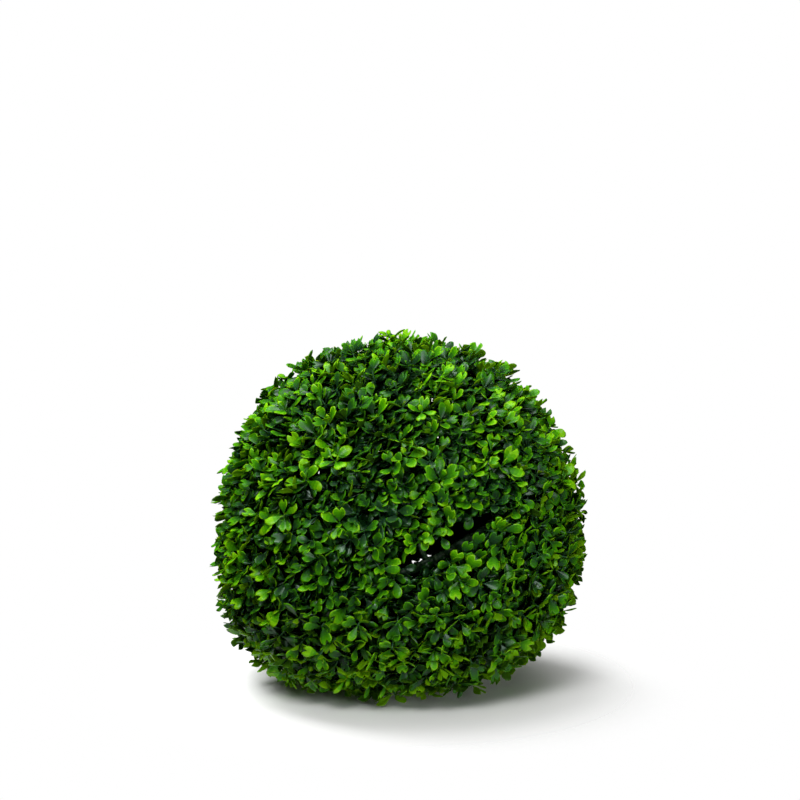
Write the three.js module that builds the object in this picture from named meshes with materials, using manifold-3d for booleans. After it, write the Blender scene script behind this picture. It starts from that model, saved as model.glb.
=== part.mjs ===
// A clipped box topiary ball of the moulded kind: two halves packed with leafy sprays meet at a tilted
// seam rim, and a short stem inside carries them from the ground. Millimetres, +Z up, origin at the
// middle of the stem's flat foot. The front, where the halves stand a little apart, faces -Y.
import * as THREE from "three";
import { mergeVertices } from "three/addons/utils/BufferGeometryUtils.js";
import Module from "manifold-3d";

const wasm = await Module();
wasm.setup();

// Driving dimensions of the clipped outline, to the furthest leaf tips
const BALL_RADIUS = 190;
const WAIST_HEIGHT = 162;
const CROWN_RISE = 194; // from the waist up to the top tips
const CROWN_ROUNDNESS = 2; // 2 is an ellipse, and more is squarer
const BELLY_DROP = 178; // how deep the lower half would reach if the ground did not flatten it
const BELLY_ROUNDNESS = 2.45;
const BELLY_SWELL = 0.065; // share by which the belly reaches further at -X, midway under the waist
const SWELL_PEAK = 2.6; // makes the swelling's level 1 at its strongest

// The dense inside that the sprays stand out of
const LEAF_LAYER = 25; // from the core's face out to the tips
const FOOT_LAYER = 14; // height of the core's flat underside above the ground
const CORE_DETAIL = 3;

// The seam between the halves
const SEAM_HEIGHT = 163;
const SEAM_SIDE_TILT = THREE.MathUtils.degToRad(25); // it climbs towards +X
const SEAM_BACK_TILT = THREE.MathUtils.degToRad(7.5); // and a little towards the back
const RIM_RADIUS = 160;
const RIM_WIDTH = 6;
const RIM_HEIGHT = 7;
const RIM_CHAMFER = 1.6;
const RIM_SEGMENTS = 36;

// Where the halves stand apart at the front and the rim shows
const GAP_ALONG = 44; // its middle, measured from the front towards +X
const GAP_HALF_LENGTH = 46;
const GAP_HALF_HEIGHT = 14;
const GAP_DEPTH = 24;
const GAP_RISE = 8; // its middle above the seam

// The short stem inside
const STEM_HEIGHT = 204;
const STEM_FOOT_RADIUS = 13;
const STEM_TIP_RADIUS = 8;
const STEM_FLARE = 14; // what the root flare adds at the ground
const STEM_FLARE_HEIGHT = 14;
const STEM_BUTTRESSES = 5;
const STEM_BUTTRESS_SHARE = 0.16;
const STEM_LEAN = 0.02; // sideways shift for each unit of height
const STEM_RINGS = 9;
const STEM_SIDES = 20;

// One spray: a three-sided twig with a whorl of leaves
const SPRAY_COUNT = 236;
const LEAVES_PER_SPRAY = 3;
const LEAF_LENGTH = 30;
const LEAF_WIDTH = 20;
const LEAF_THICKNESS = 1.6;
const LEAF_CUP = 1.6; // how far the blade's edges rise over its rib
const LEAF_SHOULDER = 0.7; // where along the blade it is widest
const LEAF_STAGGER = 2.6; // the whorl's leaves leave the twig one above the other
const TWIG_RADIUS = 2.2;
const TWIG_SINK = 7; // length of the twig's root inside the core
const TWIG_TIP_PAST_WHORL = 9;
const SPREAD = THREE.MathUtils.degToRad(62); // leaf against twig
const SPREAD_JITTER = THREE.MathUtils.degToRad(12);
const FOOT_SPREAD = THREE.MathUtils.degToRad(84); // leaves pressed flat under the foot
const LEAN = 0.34; // sideways share of a twig's growth
const FOOT_LEAN = 0.06;
const WHORL_DEPTH = 10; // least depth of a whorl's middle under the tips
const FOOT_DEPTH = 5; // the same over the ground
const WHORL_DEPTH_STEP = 0.8;
const WHORL_DEPTH_MOST = 25;
const SIZE_JITTER = 0.14;
const SEAM_MARGIN = 13; // least distance of a spray from the seam
const SEAM_COMB = 45; // sprays nearer than this lean away from the seam
const SEAM_COMB_SHARE = 0.7;

const CLEARANCE = 0.3;
const FINE_TOLERANCE = 1e-4;
const SCRAP_TOLERANCE = 1e-3;
const SEED = 20413;
const GOLDEN_ANGLE = Math.PI * (3 - Math.sqrt(5));

const COLOURS = { leaf: 0x2f7d1c, leafLow: 0x2a7019, rim: 0x1f4a26, stem: 0x4b3a28 };

const UP = new THREE.Vector3(0, 0, 1);
const MIDDLE = new THREE.Vector3(0, 0, WAIST_HEIGHT);
const SEAM_TURN = new THREE.Euler(SEAM_BACK_TILT, -SEAM_SIDE_TILT, 0);
const SEAM_NORMAL = UP.clone().applyEuler(SEAM_TURN);
const SEAM_MIDDLE = new THREE.Vector3(0, 0, SEAM_HEIGHT);

// A small generator of repeatable numbers from 0 to 1
function seededNumbers(seed) {
  let state = seed >>> 0;
  return () => {
    state = (Math.imul(state, 1664525) + 1013904223) >>> 0;
    return state / 4294967296;
  };
}

// How much further the belly reaches along a direction: it swells towards -X, and not at the waist or the foot
function swell(direction) {
  const across = Math.hypot(direction.x, direction.y);
  const towardsLeft = across > 0 ? (1 - direction.x / across) / 2 : 0;
  const depth = -Math.min(direction.z, 0);
  const level = SWELL_PEAK * depth * (1 - depth ** 2);
  return 1 + BELLY_SWELL * towardsLeft ** 2 * level ** 3;
}

// How far the clipped outline lies from the middle of the ball along a direction, taken in by an inset
function reach(direction, inset, floor) {
  const upper = direction.z >= 0;
  const roundness = upper ? CROWN_ROUNDNESS : BELLY_ROUNDNESS;
  const height = (upper ? CROWN_RISE : BELLY_DROP) - inset;
  const across = Math.hypot(direction.x, direction.y) / (BALL_RADIUS - inset);
  const along = Math.abs(direction.z) / height;
  const distance = swell(direction) * (across ** roundness + along ** roundness) ** (-1 / roundness);
  return upper ? distance : Math.min(distance, (WAIST_HEIGHT - floor) / -direction.z);
}

// The way out of the clipped outline where a direction meets it
function outward(direction) {
  const upper = direction.z >= 0;
  const roundness = upper ? CROWN_ROUNDNESS : BELLY_ROUNDNESS;
  const height = upper ? CROWN_RISE : BELLY_DROP;
  const distance = reach(direction, 0, 0);
  const onFloor = !upper && distance * -direction.z > WAIST_HEIGHT - 0.01;
  if (onFloor) return UP.clone().negate();
  const radius = Math.hypot(direction.x, direction.y) * distance;
  const across = (radius / BALL_RADIUS) ** (roundness - 1) / BALL_RADIUS;
  const along = ((Math.abs(direction.z) * distance) / height) ** (roundness - 1) / height;
  const bearing = Math.atan2(direction.y, direction.x);
  const rise = upper ? along : -along;
  return new THREE.Vector3(across * Math.cos(bearing), across * Math.sin(bearing), rise).normalize();
}

function insideOutline(point, inset, floor) {
  const arm = point.clone().sub(MIDDLE);
  const distance = arm.length();
  return distance <= reach(arm.divideScalar(distance), inset, floor);
}

// The direction in the seam plane that points at the middle of the front gap, and the one along the seam there
const GAP_OUT = new THREE.Vector3(GAP_ALONG, -Math.sqrt(RIM_RADIUS ** 2 - GAP_ALONG ** 2), 0)
  .projectOnPlane(SEAM_NORMAL)
  .normalize();
const GAP_SIDEWAYS = new THREE.Vector3().crossVectors(SEAM_NORMAL, GAP_OUT);

// Share of the way from the gap's middle (0) to its edge (1) and beyond
function gapShare(point) {
  const arm = point.clone().sub(SEAM_MIDDLE);
  if (arm.dot(GAP_OUT) < 0) return Infinity;
  const along = arm.dot(GAP_SIDEWAYS) / GAP_HALF_LENGTH;
  const over = (arm.dot(SEAM_NORMAL) - GAP_RISE) / GAP_HALF_HEIGHT;
  return Math.hypot(along, over);
}

function stemRadius(height, bearing, extra) {
  const share = Math.min(Math.max(height / STEM_HEIGHT, 0), 1);
  const shaft = STEM_FOOT_RADIUS + (STEM_TIP_RADIUS - STEM_FOOT_RADIUS) * share;
  const fade = Math.exp(-Math.max(height, 0) / STEM_FLARE_HEIGHT);
  const buttress = 1 + STEM_BUTTRESS_SHARE * fade * Math.cos(STEM_BUTTRESSES * bearing);
  return (shaft + STEM_FLARE * fade) * buttress + extra;
}

function solidFrom(geometry, tolerance = FINE_TOLERANCE) {
  const bare = geometry.clone();
  bare.deleteAttribute("normal");
  bare.deleteAttribute("uv");
  const merged = mergeVertices(bare, tolerance);
  return new wasm.Manifold(
    new wasm.Mesh({
      numProp: 3,
      vertProperties: new Float32Array(merged.attributes.position.array),
      triVerts: new Uint32Array(merged.index.array),
    }),
  );
}

function geometryFrom(solid) {
  const mesh = solid.getMesh();
  const geometry = new THREE.BufferGeometry();
  geometry.setAttribute("position", new THREE.BufferAttribute(new Float32Array(mesh.vertProperties), 3));
  geometry.setIndex(new THREE.BufferAttribute(new Uint32Array(mesh.triVerts), 1));
  geometry.computeVertexNormals();
  return geometry;
}

// The largest single body once corners that nearly meet are one, so that no loose scrap is left
function wholeOf(solid) {
  const rounded = solidFrom(geometryFrom(solid), SCRAP_TOLERANCE);
  return rounded.decompose().sort((a, b) => b.volume() - a.volume())[0];
}

function reshape(geometry, place) {
  const positions = geometry.attributes.position;
  const point = new THREE.Vector3();
  for (let i = 0; i < positions.count; i += 1) {
    point.fromBufferAttribute(positions, i);
    place(point);
    positions.setXYZ(i, point.x, point.y, point.z);
  }
  return geometry;
}

// The stem's outline grown by a clearance: lathed, then given its buttresses and its lean
function stemGeometry(extra, foot, top) {
  const profile = [new THREE.Vector2(0, foot)];
  for (let i = 0; i <= STEM_RINGS; i += 1) {
    const share = (i / STEM_RINGS) ** 1.6;
    profile.push(new THREE.Vector2(1, foot + (top - foot) * share));
  }
  profile.push(new THREE.Vector2(0, top));
  const lathe = new THREE.LatheGeometry(profile, STEM_SIDES).rotateX(Math.PI / 2);
  return reshape(lathe, (point) => {
    const onAxis = Math.hypot(point.x, point.y) < 0.5;
    const bearing = Math.atan2(point.y, point.x);
    const radius = onAxis ? 0 : stemRadius(point.z, bearing, extra);
    const lean = STEM_LEAN * point.z;
    point.set(radius * Math.cos(bearing) + lean, radius * Math.sin(bearing), point.z);
  });
}

function seamGeometry(profile) {
  return new THREE.LatheGeometry(profile, RIM_SEGMENTS).rotateX(Math.PI / 2);
}

function rimGeometry() {
  const inner = RIM_RADIUS - RIM_WIDTH;
  const half = RIM_HEIGHT / 2;
  const corners = [
    [inner, -half],
    [RIM_RADIUS - RIM_CHAMFER, -half],
    [RIM_RADIUS, -half + RIM_CHAMFER],
    [RIM_RADIUS, half - RIM_CHAMFER],
    [RIM_RADIUS - RIM_CHAMFER, half],
    [inner, half],
    [inner, -half],
  ];
  return seamGeometry(corners.map(([radius, height]) => new THREE.Vector2(radius, height)));
}

// What a half keeps out of: the other half, a band round the rim out to a radius, and the stem
function keepOut(side, bandRadius) {
  const beyond = 2 * BALL_RADIUS;
  const slab = new THREE.BoxGeometry(2 * beyond, 2 * beyond, beyond);
  slab.translate(0, 0, side * (CLEARANCE / 2 - beyond / 2));
  const inner = RIM_RADIUS - RIM_WIDTH - CLEARANCE;
  const half = RIM_HEIGHT / 2 + CLEARANCE;
  const band = seamGeometry([
    new THREE.Vector2(inner, -half),
    new THREE.Vector2(bandRadius, -half),
    new THREE.Vector2(bandRadius, half),
    new THREE.Vector2(inner, half),
    new THREE.Vector2(inner, -half),
  ]);
  const turn = new THREE.Matrix4().makeRotationFromEuler(SEAM_TURN).setPosition(SEAM_MIDDLE);
  const stem = stemGeometry(CLEARANCE, -CLEARANCE, STEM_HEIGHT + CLEARANCE);
  return solidFrom(slab.applyMatrix4(turn))
    .add(solidFrom(band.applyMatrix4(turn)))
    .add(solidFrom(stem));
}

function gapPocket() {
  const pocket = new THREE.SphereGeometry(1, 20, 10);
  pocket.scale(GAP_HALF_LENGTH, GAP_HALF_HEIGHT, GAP_DEPTH);
  const middle = SEAM_MIDDLE.clone()
    .addScaledVector(GAP_OUT, RIM_RADIUS + RIM_WIDTH / 2)
    .addScaledVector(SEAM_NORMAL, GAP_RISE);
  const turn = new THREE.Matrix4().makeBasis(GAP_SIDEWAYS, SEAM_NORMAL, GAP_OUT);
  return solidFrom(pocket.applyMatrix4(turn.setPosition(middle)));
}

function coreSolid(side) {
  const ball = reshape(new THREE.IcosahedronGeometry(1, CORE_DETAIL), (point) => {
    point.normalize();
    point.multiplyScalar(reach(point, LEAF_LAYER, FOOT_LAYER)).add(MIDDLE);
  });
  const half = solidFrom(ball).subtract(keepOut(side, 2 * BALL_RADIUS));
  return side > 0 ? half.subtract(gapPocket()) : half;
}

// A blade of eight faces: root, tip, two shoulders raised by its cup, and a rib point on each face
function leafGeometry(leaf) {
  const blade = new THREE.OctahedronGeometry(1);
  const side = new THREE.Vector3().crossVectors(leaf.face, leaf.along);
  return reshape(blade, (point) => {
    const onEnd = Math.abs(point.x) > 0.5;
    const length = onEnd ? (point.x + 1) / 2 : LEAF_SHOULDER;
    const sideways = point.y / 2;
    const lift = (point.z * LEAF_THICKNESS) / 2 + LEAF_CUP * Math.abs(point.y);
    point
      .copy(leaf.root)
      .addScaledVector(leaf.along, length * leaf.length)
      .addScaledVector(side, sideways * leaf.width)
      .addScaledVector(leaf.face, lift);
  });
}

function twigGeometry(twig) {
  const arm = twig.end.clone().sub(twig.root);
  const cone = new THREE.ConeGeometry(TWIG_RADIUS, arm.length(), 3).translate(0, arm.length() / 2, 0);
  const turn = new THREE.Quaternion().setFromUnitVectors(new THREE.Vector3(0, 1, 0), arm.clone().normalize());
  return cone.applyQuaternion(turn).translate(twig.root.x, twig.root.y, twig.root.z);
}

// The points that decide whether a leaf keeps to its space
function leafPoints(leaf) {
  const positions = leafGeometry(leaf).attributes.position;
  return Array.from({ length: positions.count }, (_, i) => new THREE.Vector3().fromBufferAttribute(positions, i));
}

function staysInOutline(leaf) {
  return leafPoints(leaf).every((point) => insideOutline(point, 0, 0));
}

function staysOutOfGap(points) {
  return points.every((point) => gapShare(point) > 1);
}

// The half that a direction belongs to, and the direction moved off the seam where it is too near it
function besideSeam(direction) {
  const point = direction.clone().multiplyScalar(reach(direction, LEAF_LAYER, FOOT_LAYER)).add(MIDDLE);
  const height = point.clone().sub(SEAM_MIDDLE).dot(SEAM_NORMAL);
  const side = height < 0 ? -1 : 1;
  const missing = Math.max(SEAM_MARGIN - Math.abs(height), 0);
  const combed = Math.max(1 - Math.abs(height) / SEAM_COMB, 0);
  point.addScaledVector(SEAM_NORMAL, side * missing);
  return { side, combed, direction: point.sub(MIDDLE).normalize() };
}

// The growing rule. Spray number i stands on a golden spiral over the ball, leans by a seeded share
// and away from the seam, and opens its leaves in a whorl just deep enough for every tip to stay within
// the clipped outline.
function sprayAt(i, count, random) {
  const height = 1 - (2 * i + 1) / count;
  const level = Math.sqrt(1 - height * height);
  const bearing = i * GOLDEN_ANGLE;
  const spot = new THREE.Vector3(level * Math.cos(bearing), level * Math.sin(bearing), height);
  const { side, combed, direction } = besideSeam(spot);
  const normal = outward(direction);
  const tangent = new THREE.Vector3(-Math.sin(bearing), Math.cos(bearing), 0);
  const other = new THREE.Vector3().crossVectors(normal, tangent).normalize();
  tangent.crossVectors(other, normal);
  const leanTowards = random() * 2 * Math.PI;
  const pressed = normal.z < -0.99;
  const lean = (pressed ? FOOT_LEAN : LEAN) * random();
  const growth = normal
    .clone()
    .addScaledVector(tangent, lean * Math.cos(leanTowards))
    .addScaledVector(other, lean * Math.sin(leanTowards))
    .addScaledVector(SEAM_NORMAL, side * combed * SEAM_COMB_SHARE)
    .normalize();
  const spread = pressed ? FOOT_SPREAD : SPREAD + SPREAD_JITTER * (2 * random() - 1);
  const size = 1 + SIZE_JITTER * (2 * random() - 1);
  const first = new THREE.Vector3().crossVectors(growth, tangent).normalize();
  const second = new THREE.Vector3().crossVectors(growth, first);
  const free = random() * 2 * Math.PI;
  const away = Math.atan2(side * SEAM_NORMAL.dot(second), side * SEAM_NORMAL.dot(first));
  const phase = combed > 0 ? away : free;
  return { side, direction, growth, first, second, spread, size, phase, pressed };
}

function whorl(spray, middle) {
  return Array.from({ length: LEAVES_PER_SPRAY }, (_, k) => {
    const turn = spray.phase + (2 * Math.PI * k) / LEAVES_PER_SPRAY;
    const radial = spray.first
      .clone()
      .multiplyScalar(Math.cos(turn))
      .addScaledVector(spray.second, Math.sin(turn));
    const along = spray.growth
      .clone()
      .multiplyScalar(Math.cos(spray.spread))
      .addScaledVector(radial, Math.sin(spray.spread));
    const face = spray.growth
      .clone()
      .multiplyScalar(Math.sin(spray.spread))
      .addScaledVector(radial, -Math.cos(spray.spread));
    const step = (k - (LEAVES_PER_SPRAY - 1) / 2) * LEAF_STAGGER;
    const root = middle.clone().addScaledVector(spray.growth, step);
    return { root, along, face, length: LEAF_LENGTH * spray.size, width: LEAF_WIDTH * spray.size };
  });
}

// The whorl sinks step by step until its leaves fit under the clipped outline
function settled(spray) {
  let leaves = [];
  let middle = null;
  const least = spray.pressed ? FOOT_DEPTH : WHORL_DEPTH;
  for (let depth = least; depth < WHORL_DEPTH_MOST; depth += WHORL_DEPTH_STEP) {
    middle = spray.direction.clone().multiplyScalar(reach(spray.direction, 0, 0) - depth).add(MIDDLE);
    leaves = whorl(spray, middle);
    if (leaves.every(staysInOutline)) break;
  }
  return { middle, leaves };
}

function halfOfFoliage(side) {
  const random = seededNumbers(SEED);
  const closed = keepOut(side, RIM_RADIUS + CLEARANCE);
  let mass = coreSolid(side);
  for (let i = 0; i < SPRAY_COUNT; i += 1) {
    const spray = sprayAt(i, SPRAY_COUNT, random);
    if (spray.side !== side) continue;
    const { middle, leaves } = settled(spray);
    const coreFace = spray.direction
      .clone()
      .multiplyScalar(reach(spray.direction, LEAF_LAYER, FOOT_LAYER))
      .add(MIDDLE);
    const root = coreFace.clone().addScaledVector(spray.growth, -TWIG_SINK);
    const past = spray.pressed ? 0 : TWIG_TIP_PAST_WHORL;
    const end = middle.clone().addScaledVector(spray.growth, past);
    const twig = solidFrom(twigGeometry({ root, end }));
    const stays = insideOutline(end, 0, 0) && staysOutOfGap([coreFace, middle, end]);
    if (!stays || !twig.intersect(closed).isEmpty()) continue;
    const kept = leaves
      .filter((leaf) => staysInOutline(leaf) && staysOutOfGap(leafPoints(leaf)))
      .map((leaf) => solidFrom(leafGeometry(leaf)))
      .filter((leaf) => leaf.intersect(closed).isEmpty());
    if (kept.length === 0) continue;
    mass = kept.reduce((whole, leaf) => whole.add(leaf), mass.add(twig));
  }
  return geometryFrom(wholeOf(mass));
}

function named(name, geometry, colour, roughness) {
  const mesh = new THREE.Mesh(geometry, new THREE.MeshStandardMaterial({ color: colour, roughness, metalness: 0 }));
  mesh.name = name;
  return mesh;
}

const ball = new THREE.Group();

ball.add(named("short_stem", stemGeometry(0, 0, STEM_HEIGHT), COLOURS.stem, 0.75));
ball.add(named("foliage_upper_half", halfOfFoliage(1), COLOURS.leaf, 0.45));
ball.add(named("foliage_lower_half", halfOfFoliage(-1), COLOURS.leafLow, 0.45));

const seam = new THREE.Group();
seam.position.copy(SEAM_MIDDLE);
seam.rotation.copy(SEAM_TURN);
seam.add(named("seam_rim", rimGeometry(), COLOURS.rim, 0.5));
ball.add(seam);

export default ball;
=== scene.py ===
import math

import bmesh
import bpy
import numpy as np
from mathutils import Euler, Matrix, Vector, noise


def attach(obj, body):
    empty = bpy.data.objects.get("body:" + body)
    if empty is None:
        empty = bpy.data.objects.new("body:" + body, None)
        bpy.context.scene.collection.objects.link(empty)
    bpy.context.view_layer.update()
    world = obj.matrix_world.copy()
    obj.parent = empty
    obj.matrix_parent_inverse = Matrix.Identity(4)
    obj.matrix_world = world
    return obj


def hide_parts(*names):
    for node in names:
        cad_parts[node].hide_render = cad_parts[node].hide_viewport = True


bl_info = {
    "name": "Box Topiary Ball",
    "version": (1, 0, 0),
    "blender": (4, 5, 0),
    "location": "3D View > Sidebar > Topiary",
    "description": "Grows a clipped ball of moulded box leaves on its frame",
    "category": "Add Mesh",
}

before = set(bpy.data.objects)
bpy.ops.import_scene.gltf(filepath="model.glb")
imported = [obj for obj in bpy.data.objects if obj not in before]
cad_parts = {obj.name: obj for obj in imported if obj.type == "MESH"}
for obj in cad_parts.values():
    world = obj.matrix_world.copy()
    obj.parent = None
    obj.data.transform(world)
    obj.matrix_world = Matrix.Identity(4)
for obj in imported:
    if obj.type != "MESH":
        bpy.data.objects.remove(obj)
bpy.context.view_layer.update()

BODY = "root"
MM = 0.001
GOLDEN_ANGLE = math.pi * (3 - math.sqrt(5))
FRAME_FLOOR = 12 * MM  # the frame and the sprays' roots stay this far over the ground

UPPER = 1
LOWER = -1
HALF_NAMES = {UPPER: "upper", LOWER: "lower"}


def length(name, description, millimetres):
    """A size that a user may change, in metres, given here in millimetres."""
    return bpy.props.FloatProperty(
        name=name, description=description, default=millimetres * MM, unit="LENGTH", precision=4
    )


def angle(name, description, degrees):
    return bpy.props.FloatProperty(
        name=name, description=description, default=math.radians(degrees), subtype="ANGLE"
    )


def share(name, description, value):
    return bpy.props.FloatProperty(name=name, description=description, default=value)


def whole(name, description, value):
    return bpy.props.IntProperty(name=name, description=description, default=value, min=0)


def colour(name, description, value):
    return bpy.props.FloatVectorProperty(
        name=name, description=description, default=value, subtype="COLOR", size=3, min=0, max=1
    )


class OutlineSettings(bpy.types.PropertyGroup):
    """The clipped outline, to the furthest leaf tips, and the seam between the halves."""

    ball_radius: length("Radius", "Half the width of the ball at its waist", 190)
    waist_height: length("Waist height", "Height of the widest level above the ground", 162)
    crown_rise: length("Crown rise", "From the waist up to the top tips", 194)
    crown_roundness: share("Crown roundness", "2 is an ellipse and more is squarer", 2.0)
    belly_drop: length("Belly drop", "How deep the lower half would reach without the ground", 178)
    belly_roundness: share("Belly roundness", "2 is an ellipse and more is squarer", 2.45)
    belly_swell: share("Belly swell", "How much further the belly reaches at the left", 0.065)
    seam_height: length("Seam height", "Where the seam plane meets the axis", 163)
    seam_side_tilt: angle("Seam side tilt", "The seam climbs towards the right", 25)
    seam_back_tilt: angle("Seam back tilt", "The seam climbs towards the back", 7.5)


class GapSettings(bpy.types.PropertyGroup):
    """The opening at the front where the halves stand apart."""

    rim_radius: length("Rim radius", "Outer radius of the seam rim", 160)
    along: length("Along", "The gap's middle, from the front towards the right", 44)
    half_length: length("Half length", "Half the gap's length along the seam", 45)
    half_height: length("Half height", "Half the gap's height across the seam", 9.5)
    rise: length("Rise", "The gap's middle above the seam", 9.5)


class RimSettings(bpy.types.PropertyGroup):
    """The moulded rim and the open frame that carries the sprays."""

    width: length("Rim width", "Radial width of the rim's section", 6)
    height: length("Rim height", "Height of the rim's section", 8)
    chamfer: length("Rim chamfer", "Width of the bevel on the rim's corners", 1.6)
    sink: length("Rim sink", "How far the rim's middle lies under the seam plane", 1.8)
    lobes: whole("Lobes", "Rounded lobes round the rim", 84)
    lobe_depth: length("Lobe depth", "How far the rim narrows between two lobes", 1.1)
    steps: whole("Steps", "Steps round the rim", 504)
    inset: length("Frame inset", "The frame lies this far under the leaf tips", 34)
    bar_radius: length("Bar radius", "Radius of the frame's bars", 2.8)
    meridians: whole("Meridians", "Bars from the rim to each half's pole", 12)
    first_bearing: angle("First bearing", "Turn of the bar that crosses the gap, from the front", 6.6)
    lower_slip: angle("Lower slip", "How far the lower frame stands turned from the upper one", 2.2)
    parallels: whole("Parallels", "Rings round each half between its rim and its pole", 4)
    plastic: colour("Plastic", "Dark green moulded plastic", (0.006, 0.024, 0.008))
    # Lighter specks on the plastic: partly dust, partly painted highlight for the mottled gloss of the bars.
    dust_and_sheen: colour("Dust", "Worn and dusty places on the plastic", (0.075, 0.115, 0.060))


class StemSettings(bpy.types.PropertyGroup):
    """The short stem inside."""

    height: length("Height", "From the flat foot to the top", 204)
    foot_radius: length("Foot radius", "Radius at the ground without the root flare", 13)
    tip_radius: length("Tip radius", "Radius at the top", 8)
    flare: length("Root flare", "What the root flare adds at the ground", 14)
    flare_height: length("Flare height", "Height over which the flare fades", 14)
    buttresses: whole("Buttresses", "Lobes of the root flare", 5)
    buttress_share: share("Buttress share", "Depth of the lobes as a share of the radius", 0.16)
    lean: share("Lean", "Sideways shift for each unit of height", 0.02)
    bark_depth: length("Bark depth", "Depth of the furrows", 1.1)
    bark: colour("Bark", "Ridges of the bark", (0.13, 0.085, 0.05))
    furrow: colour("Furrow", "Bottom of the furrows", (0.03, 0.02, 0.012))


class LeafSettings(bpy.types.PropertyGroup):
    """Sprays, twigs and leaves."""

    sprays: whole("Sprays", "How many sprays grow over the whole ball", 1300)
    seed: whole("Seed", "Start of the repeatable numbers", 20413)
    leaf_length: length("Leaf length", "Length of a leaf with its stalk", 18.5)
    leaf_width: share("Leaf width", "Width of a leaf as a share of its length", 0.5)
    thickness: share("Thickness", "Thickness of a leaf as a share of its length", 0.035)
    size_jitter: share("Size jitter", "How much leaves differ in size", 0.16)
    twig_radius: length("Twig radius", "Radius of a twig at its root", 1.1)
    lean: share("Lean", "Sideways share of a spray's growth", 0.42)
    lift: share("Lift", "How far the upper sprays turn towards their pole", 0.7)
    lower_lift: share("Lower lift", "How far the lower sprays turn towards their pole", 0.4)
    tip_jitter: length("Tip jitter", "How much deeper some sprays end", 13)
    heart_width: share("Heart width", "Width of two fused leaves as a share of their length", 0.68)
    roughness: share("Roughness", "How blurred the gloss of the leaves is", 0.36)
    gloss: share("Gloss", "Strength of the gloss of the leaves", 0.24)
    polish: share("Polish", "Strength of the sharper second gloss", 0.11)
    gloss_tint: colour("Gloss tint", "Colour of the leaves' gloss", (0.75, 1.0, 0.85))
    glow: share("Glow", "How much light passes through the leaves", 0.3)
    glow_depth: length("Glow depth", "How far light travels inside a leaf", 1.3)
    glow_tint: colour("Glow tint", "Which light travels furthest inside a leaf", (0.7, 1.0, 0.06))
    # Painted shade: every leaf of the deep tier gets this near-black colour all over.
    shade: colour("Shaded", "Leaves deep inside", (0.0016, 0.0105, 0.0018))
    deep: colour("Deepest", "Foot of the oldest blades", (0.004, 0.023, 0.006))
    dark: colour("Dark", "Lower part of old blades", (0.007, 0.036, 0.009))
    old: colour("Old", "Middle of an old blade", (0.011, 0.054, 0.011))
    dull: colour("Dull", "Between old and grown", (0.015, 0.080, 0.009))
    grown: colour("Grown", "Middle of a grown blade", (0.022, 0.120, 0.004))
    bright: colour("Bright", "Between grown and young", (0.034, 0.175, 0.002))
    young: colour("Young", "Middle of a young blade", (0.054, 0.245, 0.001))
    fresh: colour("Fresh", "End of a young blade", (0.092, 0.340, 0.001))
    pale: colour("Pale", "Tip of the palest blades", (0.175, 0.450, 0.003))
    # The undersides are paler, partly their own colour and partly painted glow of light through the leaves at
    # the outline.
    old_under: colour("Old underside", "Underside of an old leaf", (0.028, 0.085, 0.003))
    young_under: colour("Young underside", "Underside of a young leaf", (0.100, 0.250, 0.002))
    twig: colour("Twig", "Grey green stalks", (0.028, 0.095, 0.034))


class StudioSettings(bpy.types.PropertyGroup):
    """Camera, light and floor."""

    distance: length("Distance", "From the camera to the ball's middle", 1900)
    elevation: angle("Elevation", "Height angle of the camera over the ball's middle", 10)
    lens: share("Lens", "Focal length in millimetres", 85.5)
    floor: colour("Floor", "Pale studio floor", (0.85, 0.85, 0.85))
    ambient: share("Ambient", "Strength of the even light from all round", 0.03)


SETTINGS = {
    "topiary_outline": OutlineSettings,
    "topiary_gap": GapSettings,
    "topiary_rim": RimSettings,
    "topiary_stem": StemSettings,
    "topiary_leaf": LeafSettings,
    "topiary_studio": StudioSettings,
}


SEED_FACTOR = 1664525
SEED_STEP = 1013904223
SEED_RANGE = 2**32


def seeded_numbers(seed):
    """Repeatable numbers from 0 to 1."""
    state = seed
    while True:
        state = (state * SEED_FACTOR + SEED_STEP) % SEED_RANGE
        yield state / SEED_RANGE


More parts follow.
